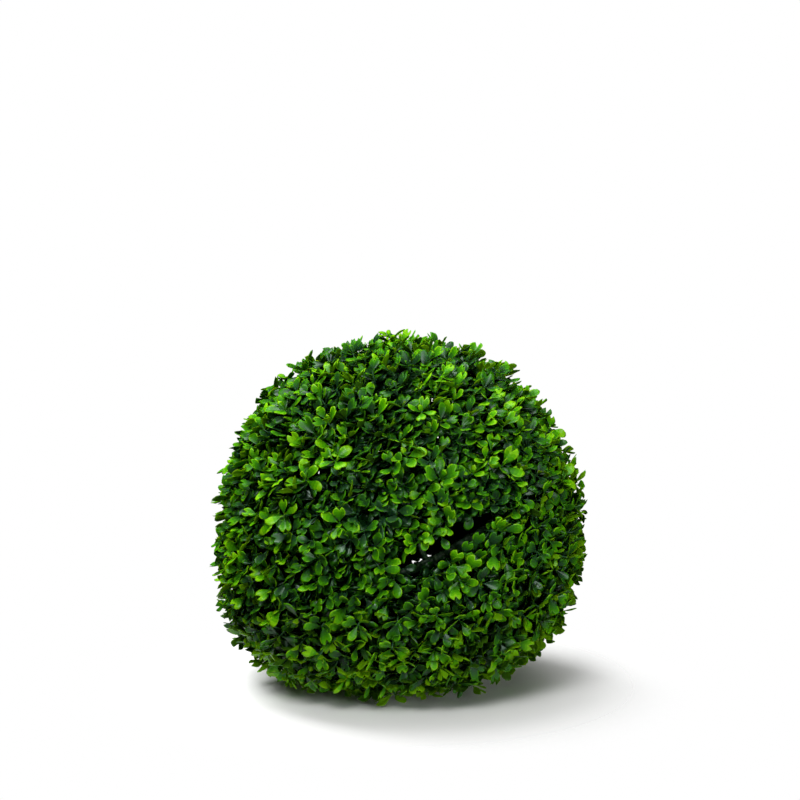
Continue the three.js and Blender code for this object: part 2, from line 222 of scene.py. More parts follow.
class Outline:
    """The clipped shape of the ball, its seam and its front gap, for many points at once."""

    FLOOR_SLACK = 0.01 * MM
    LEAST = 1e-9
    SWELL_PEAK = 2.6  # makes the swelling's level 1 at its strongest
    SWELL_SIDE_POWER = 2  # gathers it at the left
    SWELL_LEVEL_POWER = 3  # and at its level

    def __init__(self, scene):
        shape = scene.topiary_outline
        gap = scene.topiary_gap
        self.radius = shape.ball_radius
        self.rise = shape.crown_rise
        self.drop = shape.belly_drop
        self.belly_swell = shape.belly_swell
        self.crown = shape.crown_roundness
        self.belly = shape.belly_roundness
        self.middle = np.array([0.0, 0.0, shape.waist_height])
        self.seam_middle = np.array([0.0, 0.0, shape.seam_height])
        self.seam_turn = Euler((shape.seam_back_tilt, -shape.seam_side_tilt, 0.0)).to_matrix()
        self.seam_normal = np.array(self.seam_turn @ Vector((0, 0, 1)))
        front = np.array([gap.along, -math.sqrt(gap.rim_radius**2 - gap.along**2), 0.0])
        out = front - self.seam_normal * front.dot(self.seam_normal)
        self.gap_out = out / np.linalg.norm(out)
        self.gap_sideways = np.cross(self.seam_normal, self.gap_out)
        self.gap_half = (gap.half_length, gap.half_height)
        self.gap_rise = gap.rise

    def swell(self, directions):
        """How much further the belly reaches: it swells to the left, and not at the waist or the foot."""
        across = np.maximum(np.hypot(directions[:, 0], directions[:, 1]), self.LEAST)
        towards_left = (1 - directions[:, 0] / across) / 2
        depth = -np.minimum(directions[:, 2], 0.0)
        level = self.SWELL_PEAK * depth * (1 - depth**2)
        return 1 + self.belly_swell * towards_left**self.SWELL_SIDE_POWER * level**self.SWELL_LEVEL_POWER

    def reach(self, directions, inset=0.0, floor=0.0):
        """How far the outline lies from the middle along each direction, taken in by an inset."""
        upper = directions[:, 2] >= 0
        roundness = np.where(upper, self.crown, self.belly)
        height = np.where(upper, self.rise, self.drop) - inset
        across = np.hypot(directions[:, 0], directions[:, 1]) / (self.radius - inset)
        along = np.abs(directions[:, 2]) / height
        distance = self.swell(directions) * (across**roundness + along**roundness) ** (-1 / roundness)
        down = np.where(upper, 1.0, np.minimum(directions[:, 2], -self.LEAST))
        flat = (self.middle[2] - floor) / -down
        return np.where(upper, distance, np.minimum(distance, flat))

    def outward(self, directions):
        """The way out of the outline where each direction meets it."""
        upper = directions[:, 2] >= 0
        roundness = np.where(upper, self.crown, self.belly)
        height = np.where(upper, self.rise, self.drop)
        distance = self.reach(directions)
        radius = np.hypot(directions[:, 0], directions[:, 1]) * distance
        across = (radius / self.radius) ** (roundness - 1) / self.radius
        along = (np.abs(directions[:, 2]) * distance / height) ** (roundness - 1) / height
        bearing = np.arctan2(directions[:, 1], directions[:, 0])
        signed = np.where(upper, along, -along)
        normals = np.column_stack([across * np.cos(bearing), across * np.sin(bearing), signed])
        on_floor = ~upper & (distance * -directions[:, 2] > self.middle[2] - self.FLOOR_SLACK)
        normals[on_floor] = (0, 0, -1)
        return unit(normals)

    def excess(self, points, floor=0.0):
        """How far each point lies outside the outline, below zero where it is inside."""
        arms = points - self.middle
        distance = np.linalg.norm(arms, axis=1)
        return distance - self.reach(arms / distance[:, None], floor=floor)

    def at_depth(self, directions, depth, floor):
        return self.middle + directions * self.reach(directions, depth, floor)[:, None]

    def above_seam(self, points):
        return (points - self.seam_middle) @ self.seam_normal

    def gap_share(self, points):
        """Share of the way from the gap's middle, 0, to its edge, 1, and beyond."""
        arms = points - self.seam_middle
        along = arms @ self.gap_sideways
        over = arms @ self.seam_normal - self.gap_rise
        share = np.hypot(along / self.gap_half[0], over / self.gap_half[1])
        return np.where(arms @ self.gap_out > 0, share, np.inf)


def unit(vectors):
    return vectors / np.linalg.norm(vectors, axis=-1, keepdims=True)


# The numbers of a Mix node's sockets for colours.
MIX_FACTOR, MIX_LOW, MIX_HIGH = "0", "6", "7"
MIX_RESULT = 2


class Field:
    """A value or a colour on a surface, so that shader maths reads as sums and products."""

    def __init__(self, tree, socket):
        self.tree = tree
        self.socket = socket

    def maths(self, operation, first, second):
        return make_node(self.tree, "ShaderNodeMath", {"operation": operation}, **{"0": first, "1": second})

    def __add__(self, other):
        return self.maths("ADD", self, other)

    def __radd__(self, other):
        return self.maths("ADD", other, self)

    def __mul__(self, other):
        return self.maths("MULTIPLY", self, other)

    def __rmul__(self, other):
        return self.maths("MULTIPLY", other, self)

    def mixed(self, low, high):
        """The colour low where this is 0, and high where it is 1."""
        settings = {"data_type": "RGBA", "clamp_factor": True}
        inputs = {MIX_FACTOR: self, MIX_LOW: low, MIX_HIGH: high}
        return make_node(self.tree, "ShaderNodeMix", settings, MIX_RESULT, **inputs)


def fill(node, **inputs):
    """Gives a node's sockets, by name or number, their values or links."""
    for key, value in inputs.items():
        socket = node.inputs[int(key)] if key.isdigit() else node.inputs[key.replace("_", " ")]
        if isinstance(value, Field):
            value.tree.links.new(value.socket, socket)
        else:
            socket.default_value = value


def make_node(tree, kind, settings=None, output=0, **inputs):
    """A node of any kind, its settings first and then its sockets, as the field of one of its outputs."""
    node = tree.nodes.new(kind)
    for key, value in (settings or {}).items():
        setattr(node, key, value)
    fill(node, **inputs)
    return Field(tree, node.outputs[output])


def opaque(rgb):
    return (*rgb, 1.0)


def new_material(name, rgb):
    """A material of one colour, its node tree and its shader."""
    material = bpy.data.materials.new(name)
    material.use_nodes = True
    material.diffuse_color = opaque(rgb)
    tree = material.node_tree
    shader = next(node for node in tree.nodes if node.type == "BSDF_PRINCIPLED")
    fill(shader, Base_Color=opaque(rgb))
    return material, tree, shader


def object_place(tree):
    return make_node(tree, "ShaderNodeTexCoord", output="Object")


POLISH_ROUGHNESS = 0.22
# How much stronger or weaker than its usual strength the gloss of each tone is: old leaves have a waxy sheen.
GLOSS_SHARES = {
    "shade": 0.2,
    "deep": 1.4,
    "dark": 1.8,
    "old": 1.8,
    "dull": 1.6,
    "grown": 1.0,
    "bright": 0.6,
}
YOUNG_GLOSS_SHARE = 0.5


def leaf_material(name, leaf):
    """Moulded leaf plastic in one of the dealt tones: a broad sheen under a slight polish."""
    material, _, shader = new_material(name, getattr(leaf, name))
    fill(
        shader,
        Roughness=leaf.roughness,
        Specular_IOR_Level=leaf.gloss * GLOSS_SHARES.get(name, YOUNG_GLOSS_SHARE),
        Specular_Tint=opaque(leaf.gloss_tint),
        Coat_Weight=leaf.polish,
        Coat_Roughness=POLISH_ROUGHNESS,
        Subsurface_Weight=leaf.glow,
        Subsurface_Scale=leaf.glow_depth,
        Subsurface_Radius=leaf.glow_tint,
    )
    return material


# Patterns, scaled by their features for each metre.
SPECKS = {"Scale": 230.0, "Detail": 4.0, "Roughness": 0.6}
PLASTIC_GRAIN = {"Scale": 900.0, "Detail": 3.0}
FURROW_STRETCH = (150.0, 150.0, 26.0)
FURROWS = {"Scale": 1.0, "Detail": 6.0}
BARK_GRAIN = {"Scale": 700.0, "Detail": 4.0}
FURROW_SHARE = 0.75  # of the bark's relief, and the rest is grain
# Where in the pattern a finish changes from its first colour to its second, its roughness at the first, what
# the second adds to that, and its relief.
PLASTIC = {"from": 0.5, "to": 0.72, "roughness": 0.4, "wear": 0.3, "strength": 0.25, "depth": 0.4 * MM}
BARK = {"from": 0.36, "to": 0.62, "roughness": 0.92, "wear": -0.2, "strength": 0.8, "depth": 1.2 * MM}
PLASTIC_GLOSS = 0.2
PAPER_ROUGHNESS = 0.9
PAPER_GLOSS = 0.1
FADE_START = 0.11  # metres from its middle at which the floor starts to fade
FADE_END = 0.3


def add_finish(tree, shader, pattern, relief, colours, finish):
    """Colours a surface from the first colour to the second by a pattern, and gives it relief."""
    mask = make_node(
        tree,
        "ShaderNodeMapRange",
        {"clamp": True},
        Value=pattern,
        From_Min=finish["from"],
        From_Max=finish["to"],
    )
    strength = finish["strength"]
    bump = make_node(tree, "ShaderNodeBump", Strength=strength, Distance=finish["depth"], Height=relief)
    fill(
        shader,
        Base_Color=mask.mixed(*map(opaque, colours)),
        Roughness=mask * finish["wear"] + finish["roughness"],
        Normal=bump,
    )


def plastic_material(name, rgb, dust_and_sheen):
    """Dark frame plastic with lighter specks, partly dust and partly painted highlight, on a slightly uneven
    surface.
    """
    material, tree, shader = new_material(name, rgb)
    place = object_place(tree)
    cloud = make_node(tree, "ShaderNodeTexNoise", Vector=place, **SPECKS)
    grain = make_node(tree, "ShaderNodeTexNoise", Vector=place, **PLASTIC_GRAIN)
    add_finish(tree, shader, cloud, grain, (rgb, dust_and_sheen), PLASTIC)
    fill(shader, Specular_IOR_Level=PLASTIC_GLOSS)
    return material


def bark_material(name, ridge, furrow):
    """Bark: long furrows broken up by grain, darker in the depth."""
    material, tree, shader = new_material(name, ridge)
    place = object_place(tree)
    stretched = make_node(tree, "ShaderNodeMapping", Vector=place, Scale=FURROW_STRETCH)
    furrows = make_node(tree, "ShaderNodeTexNoise", Vector=stretched, **FURROWS)
    grain = make_node(tree, "ShaderNodeTexNoise", Vector=place, **BARK_GRAIN)
    height = furrows * FURROW_SHARE + grain * (1 - FURROW_SHARE)
    add_finish(tree, shader, height, height, (furrow, ridge), BARK)
    return material


def floor_material(name, rgb):
    """Pale paper floor that fades into the white round it."""
    material, tree, shader = new_material(name, rgb)
    fill(shader, Roughness=PAPER_ROUGHNESS, Specular_IOR_Level=PAPER_GLOSS)
    place = object_place(tree)
    radius = make_node(tree, "ShaderNodeVectorMath", {"operation": "LENGTH"}, "Value", **{"0": place})
    smooth = {"clamp": True, "interpolation_type": "SMOOTHSTEP"}
    fade = make_node(tree, "ShaderNodeMapRange", smooth, Value=radius, From_Min=FADE_START, From_Max=FADE_END)
    paper = Field(tree, shader.outputs[0])
    clear = make_node(tree, "ShaderNodeBsdfTransparent")
    mix = make_node(tree, "ShaderNodeMixShader", **{"0": fade, "1": paper, "2": clear})
    output = next(node for node in tree.nodes if node.type == "OUTPUT_MATERIAL")
    fill(output, Surface=mix)
    return material


def add_piece(mesh, materials, replaced):
    """Puts a finished mesh in the scene as a piece of the ball, under the mesh's name."""
    for material in materials:
        mesh.materials.append(material)
    piece = bpy.data.objects.new(mesh.name, mesh)
    bpy.context.scene.collection.objects.link(piece)
    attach(piece, BODY)
    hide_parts(replaced)


def verts_of(parts):
    return [part for part in parts if isinstance(part, bmesh.types.BMVert)]


def faces_of(parts):
    return [part for part in parts if isinstance(part, bmesh.types.BMFace)]


def mesh_from(bm, name, smooth=True):
    """A mesh with its faces outwards."""
    bmesh.ops.recalc_face_normals(bm, faces=bm.faces)
    for face in bm.faces:
        face.smooth = smooth
    mesh = bpy.data.meshes.new(name)
    bm.to_mesh(mesh)
    bm.free()
    return mesh


def grow_column(bm, sides, rings):
    """Extrudes a disc of radius 1 to each ring's height, where it shrinks to a share of its last width."""
    bmesh.ops.create_circle(bm, cap_ends=True, radius=1.0, segments=sides)
    top = next(iter(bm.faces))
    for height, shrink in rings:
        made = bmesh.ops.extrude_face_region(bm, geom=[top, *top.edges])["geom"]
        for v in verts_of(made):
            v.co = (v.co.x * shrink, v.co.y * shrink, height)
        top = faces_of(made)[0]


def spin_round(bm, section, steps):
    """Spins a closed section once round the Z axis."""
    turn = 2 * math.pi
    bmesh.ops.spin(bm, geom=section, cent=(0, 0, 0), axis=(0, 0, 1), angle=turn, steps=steps, use_merge=True)


class Shape:
    """A small finished mesh as arrays, ready to be copied many times."""

    def __init__(self, bm):
        bmesh.ops.recalc_face_normals(bm, faces=bm.faces)
        bm.verts.index_update()
        self.points = np.array([v.co[:] for v in bm.verts])
        self.corners = np.array([loop.vert.index for face in bm.faces for loop in face.loops])
        self.sizes = np.array([len(face.loops) for face in bm.faces])
        self.looks = np.array([face.material_index for face in bm.faces])
        self.smooth = np.array([face.smooth for face in bm.faces])
        bm.free()


LOOK_STALK, LOOK_BASE, LOOK_LOW, LOOK_MIDDLE, LOOK_HIGH, LOOK_TIP, LOOK_RIM, LOOK_UNDER = range(8)
STALK_WIDTH = 0.17
LOBE = 0.45  # where a lobe's crest lies, as a share of the way from the rib to the rim
NOTCH_POWER = 1.4  # how steeply the notch sinks towards the rib
BACK_POWER = 2  # and how steeply the corners are drawn back towards the rim
DRAWN_POWER = 3  # gathers both at the end of the blade
MERGE_PARTS = 10  # points closer than this part of a blade's thickness become one
# A blade's bands end at the rows, as shares of the way from its stalk to its tip, and each has its look. Its
# columns end at shares of the way from the rib to the rim. Its outline gives the stalk's share of the length,
# where the blade is widest, its width at the end, how far its corners are drawn back and its notch's depth.
FINE_BANDS = {
    "rows": (0.0, 0.22, 0.44, 0.65, 0.86, 1.0),
    "looks": (LOOK_STALK, LOOK_BASE, LOOK_LOW, LOOK_MIDDLE, LOOK_HIGH, LOOK_TIP),
}
COARSE_BANDS = {
    "rows": (0.0, 0.38, 0.75, 1.0),
    "looks": (LOOK_STALK, LOOK_BASE, LOOK_MIDDLE, LOOK_TIP),
}
FIRST_RIM_ROW = 3
OVAL_OUTLINE = {"stalk": 0.2, "widest": 0.7, "end": 0.66, "back": 0.12, "notch": 0.0}
HEART_OUTLINE = {"stalk": 0.22, "widest": 0.8, "end": 0.82, "back": 0.15, "notch": 0.25}
OVAL = {**FINE_BANDS, **OVAL_OUTLINE, "columns": (0.0, 0.8, 1.0)}
STALKED_OVAL = {**OVAL, "stalk": 0.36, "widest": 0.76}
COARSE_OVAL = {**COARSE_BANDS, **OVAL_OUTLINE, "columns": (0.0, 1.0)}
HEART = {**FINE_BANDS, **HEART_OUTLINE, "columns": (0.0, LOBE, 0.82, 1.0)}
STALKED_HEART = {**HEART, "stalk": 0.36, "widest": 0.82, "notch": 0.21}


def half_width(form, along):
    """Half the width along a leaf, as a share of its greatest, from the slim stalk to the rounded end."""
    if along <= 0:
        return 0.0
    if along > form["widest"]:
        past = (along - form["widest"]) / (1 - form["widest"])
        return 1 - (1 - form["end"]) * past**2
    opening = max((along - form["stalk"]) / (form["widest"] - form["stalk"]), 0.0)
    return STALK_WIDTH + (1 - STALK_WIDTH) * math.sin(opening * math.pi / 2)


def place_in_blade(form, along, side):
    """A point of a flat leaf of unit length and width, side running from -1 over the rib to 1."""
    inner = max(1 - abs(side) / LOBE, 0.0)
    outer = max((abs(side) - LOBE) / (1 - LOBE), 0.0)
    drawn_in = form["notch"] * inner**NOTCH_POWER + form["back"] * outer**BACK_POWER
    return along - drawn_in * along**DRAWN_POWER, side * half_width(form, along) / 2


def add_underside(bm, faces, thickness, smooth):
    """Closes a blade with a copy of its faces, just below them and with the same outline."""
    doubled = bmesh.ops.duplicate(bm, geom=faces)["geom"]
    for v in verts_of(doubled):
        if not v.is_boundary:
            v.co.z -= thickness
    for face in faces_of(doubled):
        face.material_index = LOOK_UNDER
        face.smooth = smooth
    bmesh.ops.remove_doubles(bm, verts=bm.verts, dist=thickness / MERGE_PARTS)


def leaf_shape(form, thickness, fold=0.0, lobe=0.0, curl=0.0, twist=0.0):
    """A closed blade in bands from its stalk to its tip, with a rim of its own look where it has one.
    Its halves rise from the rib by the fold, each swells by the lobe, and its end bends back by the curl."""
    bm = bmesh.new()
    columns = form["columns"]
    ends = (0.0,) + tuple(form["stalk"] + (1 - form["stalk"]) * row for row in form["rows"])
    row_count = len(form["rows"])
    half_count = len(columns) - 1
    bmesh.ops.create_grid(bm, x_segments=row_count, y_segments=2 * half_count, size=1.0)
    for face in bm.faces:
        middle = face.calc_center_median()
        row = int((middle.x + 1) / 2 * row_count)
        at_side = abs(middle.y) > 1 - 1 / half_count
        face.material_index = form["looks"][row]
        if half_count > 1 and at_side and row > 0:
            face.material_index = LOOK_RIM if row >= FIRST_RIM_ROW else LOOK_LOW
        face.smooth = True
    for v in bm.verts:
        along = ends[round((v.co.x + 1) / 2 * row_count)]
        column = round(v.co.y * half_count)
        side = math.copysign(columns[abs(column)], column)
        width = half_width(form, along)
        swell = max(1 - ((abs(side) - LOBE) / LOBE) ** 2, 0.0)
        x, y = place_in_blade(form, along, side)
        lift = (fold * abs(side) + lobe * swell + twist * side * along) * width - curl * along**2
        v.co = (x, y, lift)
    add_underside(bm, list(bm.faces), thickness, smooth=False)
    return Shape(bm)


# The bends of the detailed blades of the top whorls, and of the simpler ones further in.
HEART_BLADES = (
    {"form": HEART, "fold": 0.10, "lobe": 0.05, "curl": 0.06},
    {"form": HEART, "fold": 0.04, "lobe": 0.06, "curl": 0.12},
    {"form": HEART, "fold": 0.18, "lobe": 0.04, "curl": -0.04, "twist": 0.05},
    {"form": STALKED_HEART, "fold": -0.03, "lobe": 0.05, "curl": 0.04, "twist": -0.06},
)
OVAL_BLADES = (
    {"form": OVAL, "fold": 0.07, "curl": 0.05},
    {"form": OVAL, "fold": 0.12, "curl": 0.10, "twist": 0.06},
    {"form": OVAL, "fold": -0.05, "curl": 0.08},
    {"form": STALKED_OVAL, "fold": 0.05, "curl": -0.06, "twist": -0.06},
)
SMALL_BLADES = (
    {"form": COARSE_OVAL, "fold": 0.08, "curl": 0.06},
    {"form": COARSE_OVAL, "fold": -0.05, "curl": 0.08, "twist": 0.05},
)
PLAIN_SEGMENTS = 8
PLAIN_CUP = 0.08  # how much the sides of a plain blade rise
NEAR_RIB = 1e-5
TWIG_SIDES = 5
TWIG_BEND = 0.7  # in root radii
TWIG_RINGS = ((0.5, 0.8), (1.0, 0.75))  # their heights, and their shares of the last ring's width


def plain_leaf_shape(thickness):
    """A closed blade of two fans that share their outline, for the shaded leaves inside."""
    bm = bmesh.new()
    bmesh.ops.create_circle(bm, cap_ends=True, radius=1.0, segments=PLAIN_SEGMENTS)
    for v in bm.verts:
        side = 0.0 if abs(v.co.y) < NEAR_RIB else math.copysign(1.0, v.co.y)
        along = max((1 + v.co.x) / 2, 0.0)
        width = half_width(OVAL, along)
        v.co = (along, side * width / 2, PLAIN_CUP * side**2 * width)
    fan = bmesh.ops.poke(bm, faces=list(bm.faces))["faces"]
    for face in fan:
        face.smooth = True
    add_underside(bm, fan, thickness, smooth=True)
    return Shape(bm)


def leaf_shapes(thickness):
    """The blades that are copied, by tier."""
    hearts, ovals, small = (
        [leaf_shape(thickness=thickness, **blade) for blade in blades]
        for blades in (HEART_BLADES, OVAL_BLADES, SMALL_BLADES)
    )
    plain = [plain_leaf_shape(thickness)]
    return {"heart": hearts, "oval": ovals, "bud": small, "middle": small, "deep": plain}


def twig_shape():
    """A tapered, slightly bent twig of unit length and unit root radius, along X."""
    bm = bmesh.new()
    grow_column(bm, TWIG_SIDES, TWIG_RINGS)
    for v in bm.verts:
        across = v.co.x + TWIG_BEND * math.sin(math.pi * v.co.z)
        v.co = (v.co.z, across, v.co.y)
    for face in bm.faces:
        face.smooth = True
    return Shape(bm)


class Copies:
    """Places where one shape is copied: a root, three axes with their lengths, and the looks of each copy.
    A copy that would reach under the ground lies on it instead."""

    def __init__(self, shape):
        self.shape = shape
        self.roots = []
        self.axes = []
        self.looks = []

    def add(self, root, axes, looks):
        self.roots.append(root)
        self.axes.append(axes)
        self.looks.append(looks)

    def arrays(self, start):
        """Points, corners, and the faces' sizes, looks and smoothness, the corners counted from a start."""
        roots = np.array(self.roots)
        count = len(roots)
        points = self.shape.points @ np.array(self.axes) + roots[:, None, :]
        points[:, :, 2] += np.maximum(LEAST_HEIGHT - points[:, :, 2].min(axis=1), 0.0)[:, None]
        first = start + np.arange(count)[:, None] * len(self.shape.points)
        corners = self.shape.corners[None, :] + first
        looks = np.array(self.looks)[:, self.shape.looks]
        sizes = np.tile(self.shape.sizes, count)
        smooth = np.tile(self.shape.smooth, count)
        return points.reshape(-1, 3), corners.ravel(), sizes, looks.ravel(), smooth


def joined_mesh(name, groups):
    """One mesh that holds every copy of several shapes."""
    parts = []
    start = 0
    for group in groups:
        if group.roots:
            parts.append(group.arrays(start))
            start += len(parts[-1][0])
    points, corners, sizes, looks, smooth = map(np.concatenate, zip(*parts))
    starts = np.concatenate([[0], np.cumsum(sizes)[:-1]])
    mesh = bpy.data.meshes.new(name)
    mesh.vertices.add(len(points))
    mesh.vertices.foreach_set("co", points.astype(np.float32).ravel())
    mesh.loops.add(len(corners))
    mesh.loops.foreach_set("vertex_index", corners.astype(np.int32))
    mesh.polygons.add(len(sizes))
    mesh.polygons.foreach_set("loop_start", starts.astype(np.int32))
    mesh.polygons.foreach_set("material_index", looks.astype(np.int32))
    mesh.polygons.foreach_set("use_smooth", smooth)
    mesh.update(calc_edges=True)
    return mesh


# Each tier of leaves along a twig: where it sits as a share of the twig, its leaves' bearings and openings in
# degrees, and how large they are.
TIERS = {
    "deep": {"along": 0.2, "bearings": (0, 72, 144, 216, 288), "spread": 82, "size": 1.15},
    "middle": {"along": 0.6, "bearings": (0, 90, 180, 270), "spread": 72, "size": 1.05},
}
# Top whorls: up to which kind number, how wide they open, the bearings of their hearts and of their ovals.
TOP_WHORLS = (
    (0.36, 58, (0, 180), (90, 270)),
    (0.56, 60, (0, 130, 235), ()),
    (0.76, 56, (0,), (100, 180, 255)),
    (0.90, 60, (0, 165), (75, 285)),
    (1.00, 62, (180,), (0, 65, 290)),
)
# The small leaf at the tip of each spray, its bearing and opening in degrees.
BUD_TURN = 40
BUD_SPREAD = 32
BUD_SIZE = 0.58
# In degrees: how wide the leaves open that are pressed flat at the foot, and how much all of them differ.
FOOT_SPREAD = 83
SPRAY_SPREAD_JITTER = 15
SPREAD_JITTER = 15
BEARING_JITTER = 18
ROLL_JITTER = 24
LEAF_SIZE_JITTER = 0.12
# Places along and across a leaf that stand for its whole shape.
LEAF_KEY_POINTS = ((0.0, 0.0), (0.7, -0.5), (0.7, 0.5), (1.0, 0.0))
SECTORS = 4
DRAWS_PER_SPRAY = 10
PRESSED_LEVEL = -0.99  # sprays that face down more steeply than this are pressed flat
PRESSED_LEAN = 0.1
LEAST_LIFT = 0.4  # as a share of a spray's usual lift
SUNK_POWER = 1.3  # makes deep tips rarer than shallow ones
USUAL_SUNK = 0.4  # sprays that end deeper look darker than their tone, partly older and partly in painted shade
TONE_SPAN = 1.1  # from the oldest tone number, 0, to the youngest
SETTLING_PASSES = 3
TIP_STAGGER = 2.5 * MM  # the leaves of a whorl start up to this far under its middle
MOST_PROUD = 7 * MM
STRAY_SHARE = 0.03  # of the sprays stand out of the outline
STRAY_PROUD = 4 * MM
FOOT_CLEARANCE = 5 * MM
LEAST_HEIGHT = 0.3 * MM
STEM_CLEARANCE = 2 * MM


class Sprays:
    """The growing rule. Spray number i stands on a golden spiral over the ball and leans by a seeded share.
    Its top whorl sinks until every tip is within the clipped outline, and the lower tiers follow its twig."""

    def __init__(self, scene, outline):
        leaf = scene.topiary_leaf
        self.outline = outline
        self.leaf = leaf
        self.numbers = seeded_numbers(leaf.seed)
        count = leaf.sprays
        draws = np.array([[next(self.numbers) for _ in range(DRAWS_PER_SPRAY)] for _ in range(count)])
        lean_turn, lean_share, turn, size, kind, tone, depth, widening, lift_share, stray = draws.T
        index = np.arange(count)
        height = 1 - (2 * index + 1) / count
        level = np.sqrt(1 - height**2)
        bearing = index * GOLDEN_ANGLE
        self.direction = np.column_stack([level * np.cos(bearing), level * np.sin(bearing), height])
        normal = outline.outward(self.direction)
        tangent = np.column_stack([-np.sin(bearing), np.cos(bearing), np.zeros(count)])
        other = unit(np.cross(normal, tangent))
        tangent = np.cross(other, normal)
        self.pressed = normal[:, 2] < PRESSED_LEVEL
        self.surface = self.direction * outline.reach(self.direction)[:, None] + outline.middle
        side = np.where(outline.above_seam(self.surface) >= 0, 1.0, -1.0)
        pole = outline.seam_normal * side[:, None]
        to_pole = pole - normal * np.sum(pole * normal, axis=1)[:, None]
        usual_lift = np.where(side > 0, leaf.lift, leaf.lower_lift)
        lift = usual_lift * (LEAST_LIFT + (1 - LEAST_LIFT) * 2 * lift_share)
        lift[self.pressed] = 0.0
        towards = 2 * math.pi * lean_turn
        lean = np.where(self.pressed, PRESSED_LEAN, 1.0) * leaf.lean * lean_share
        self.growth = unit(
            normal
            + tangent * (lean * np.cos(towards))[:, None]
            + other * (lean * np.sin(towards))[:, None]
            + to_pole * lift[:, None]
        )
        self.first = unit(np.cross(self.growth, tangent))
        self.second = np.cross(self.growth, self.first)
        self.phase = 2 * math.pi * turn
        self.size = 1 + leaf.size_jitter * (2 * size - 1)
        self.kind = kind
        sunk = depth**SUNK_POWER
        self.tip_inset = leaf.tip_jitter * sunk - STRAY_PROUD * (stray < STRAY_SHARE)
        # Sprays that end deeper get darker tones: partly older leaves, partly painted shade.
        self.tone = TONE_SPAN * tone - DEPTH_DARKENING * (sunk - USUAL_SUNK)
        self.widening = SPRAY_SPREAD_JITTER * (2 * widening - 1)
        self.root = outline.at_depth(self.direction, scene.topiary_rim.inset, FRAME_FLOOR)
        self.half = np.where(outline.above_seam(self.root) >= 0, UPPER, LOWER)
        self.top_leaves = [self.top_whorl(i) for i in range(count)]
        self.top = self.settled_tops()

    def jitter(self, most):
        """The next seeded number, as a difference of at most this much either way."""
        return most * (2 * next(self.numbers) - 1)

    def turned(self, degrees, most):
        return math.radians(degrees + self.jitter(most))

    def leaf_axes(self, i, turn, spread, roll, size, width):
        """Along, side and face of one leaf of spray i, each with its length."""
        radial = self.first[i] * math.cos(turn) + self.second[i] * math.sin(turn)
        along = self.growth[i] * math.cos(spread) + radial * math.sin(spread)
        face = self.growth[i] * math.sin(spread) - radial * math.cos(spread)
        side = np.cross(face, along)
        rolled = face * math.cos(roll) + side * math.sin(roll)
        span = self.leaf.leaf_length * size
        return np.array([along * span, np.cross(rolled, along) * span * width, rolled * span])

    def top_whorl(self, i):
        """The top leaves of spray i, as tier name and axes."""
        opening, hearts, ovals = next(whorl[1:] for whorl in TOP_WHORLS if self.kind[i] <= whorl[0])
        opening = FOOT_SPREAD if self.pressed[i] else opening + self.widening[i]
        bud_opening = FOOT_SPREAD if self.pressed[i] else BUD_SPREAD
        leaf = self.leaf
        leaves = []
        for tier, bearings, width in (("heart", hearts, leaf.heart_width), ("oval", ovals, leaf.leaf_width)):
            for bearing in bearings:
                spread = self.turned(opening, SPREAD_JITTER)
                turn = self.phase[i] + self.turned(bearing, BEARING_JITTER)
                size = self.size[i] * (1 + self.jitter(LEAF_SIZE_JITTER))
                roll = self.turned(0, ROLL_JITTER)
                leaves.append((tier, self.leaf_axes(i, turn, spread, roll, size, width)))
        spread = self.turned(bud_opening, SPREAD_JITTER)
        turn = self.phase[i] + self.turned(BUD_TURN, BEARING_JITTER)
        size = self.size[i] * BUD_SIZE
        leaves.append(("bud", self.leaf_axes(i, turn, spread, 0.0, size, leaf.leaf_width)))
        return leaves

    def settled_tops(self):
        """Each top whorl's middle, just deep enough for the furthest tip."""
        counts = [len(leaves) for leaves in self.top_leaves]
        spray = np.repeat(np.arange(len(counts)), counts)
        axes = np.array([leaf_axes for leaves in self.top_leaves for _, leaf_axes in leaves])
        depth = np.zeros(len(counts))
        for _ in range(SETTLING_PASSES):
            middle = self.surface - self.direction * depth[:, None]
            worst = np.full(len(counts), -np.inf)
            for along, across in LEAF_KEY_POINTS[1:]:
                points = middle[spray] + axes[:, 0] * along + axes[:, 1] * across
                np.maximum.at(worst, spray, self.outline.excess(points, FOOT_CLEARANCE))
            depth += worst + np.where(self.pressed, 0.0, self.tip_inset)
        return self.surface - self.direction * depth[:, None]

    def tiers(self, i):
        """The leaves of every tier of spray i, as tier name, root and axes."""
        arm = self.top[i] - self.root[i]
        for tier, axes in self.top_leaves[i]:
            back = self.growth[i] * TIP_STAGGER * next(self.numbers)
            yield tier, self.top[i] - back, axes
        for name, tier in TIERS.items():
            middle = self.root[i] + arm * tier["along"]
            start = self.phase[i] + 2 * math.pi * next(self.numbers)
            for bearing in tier["bearings"]:
                turn = start + self.turned(bearing, BEARING_JITTER)
                spread = self.turned(tier["spread"], SPREAD_JITTER)
                roll = self.turned(0, ROLL_JITTER)
                size = self.size[i] * tier["size"]
                yield name, middle, self.leaf_axes(i, turn, spread, roll, size, self.leaf.leaf_width)


def stem_radius(stem, height, bearing):
    """The stem's radius without its bark, the root flare included."""
    along = min(max(height / stem.height, 0.0), 1.0)
    shaft = stem.foot_radius + (stem.tip_radius - stem.foot_radius) * along
    fade = math.exp(-max(height, 0.0) / stem.flare_height)
    buttress = 1 + stem.buttress_share * fade * math.cos(stem.buttresses * bearing)
    return (shaft + stem.flare * fade) * buttress


